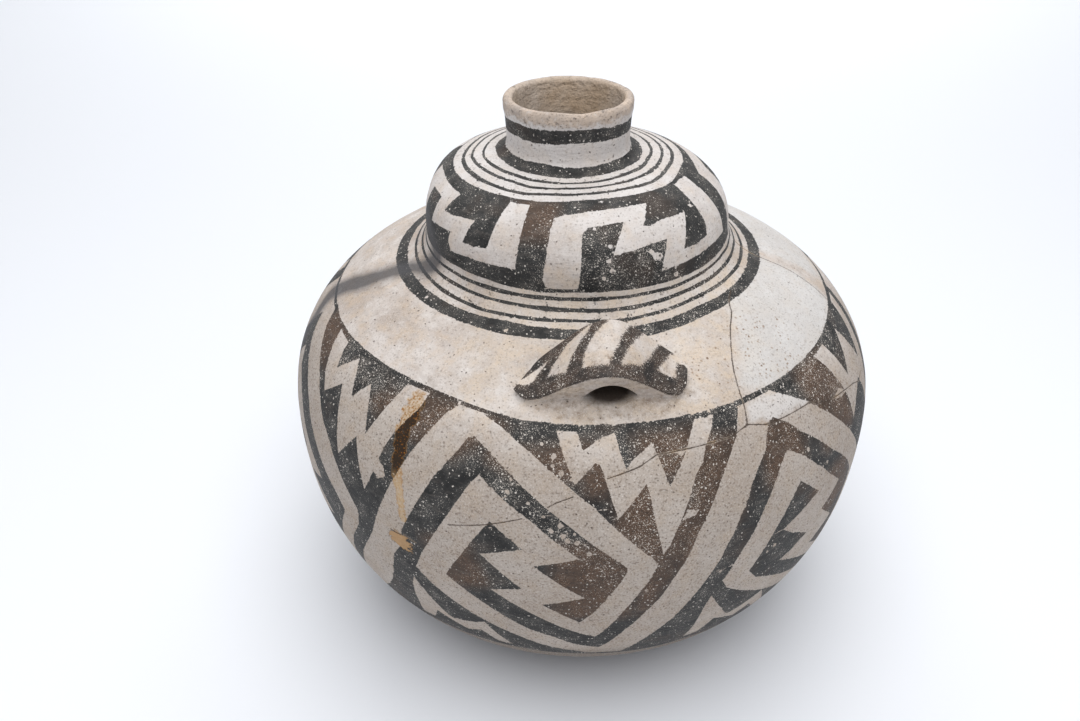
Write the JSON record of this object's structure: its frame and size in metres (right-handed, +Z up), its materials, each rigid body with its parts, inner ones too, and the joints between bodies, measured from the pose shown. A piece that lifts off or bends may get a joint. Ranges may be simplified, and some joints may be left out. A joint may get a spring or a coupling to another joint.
{
  "type": "black-on-white pottery jar",
  "caption": "Hollow round-bellied pottery storage jar with a domed upper chamber, short neck and a painted strap handle on the shoulder.",
  "frame": {"origin": "centre of the jar's footprint on the surface that it stands on, below the body's axis", "axes": "+Z up, the handle faces -Y and the upper chamber leans a little towards -X"},
  "size_m": [0.307, 0.307, 0.2766],
  "materials": {
    "slipped_pottery": "matt white slip with black geometric painting, worn and stained"
  },
  "bodies": {
    "root": {"jar": "slipped_pottery"}
  },
  "joints": []
}
